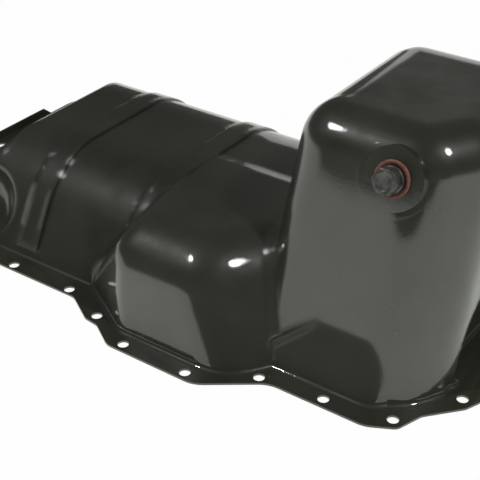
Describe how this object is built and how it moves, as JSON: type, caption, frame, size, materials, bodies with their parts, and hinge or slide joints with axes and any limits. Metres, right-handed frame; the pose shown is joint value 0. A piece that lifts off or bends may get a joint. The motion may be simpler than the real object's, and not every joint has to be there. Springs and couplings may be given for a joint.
{
  "type": "engine oil pan",
  "caption": "Pressed steel engine oil pan with a shallow trough, a side bulge, a deep sump and a threaded drain plug, standing on its gasket flange.",
  "frame": {"origin": "middle of the gasket flange on the gasket face", "axes": "+X along the engine towards the deep end, +Y across it away from the bulge, +Z from the gasket face to the sump's floor"},
  "size_m": [0.52, 0.2935, 0.172],
  "materials": {
    "black_paint": "gloss black paint",
    "nut_steel": "plain steel",
    "washer": "reddish brown sealing ring",
    "plug_steel": "black oxide steel"
  },
  "bodies": {
    "pan": {"pan": "black_paint", "drain_nut": "nut_steel"},
    "washer": {"drain_washer": "washer"},
    "plug": {"drain_plug": "plug_steel"}
  },
  "joints": [
    {"name": "washer_slide", "type": "slide", "parent": "pan", "child": "washer", "axis": [0, -0.965, 0.2622], "range_m": [0, 0.012]},
    {"name": "plug_turn", "type": "hinge", "parent": "washer", "child": "plug", "pos_m": [0.1863, -0.0723, 0.145], "axis": [0, -0.965, 0.2622], "range_deg": [0, 2880]}
  ],
  "couplings": [
    {"joint": "plug_turn", "follows": "washer_slide", "rad_per_m": 4188.8}
  ]
}
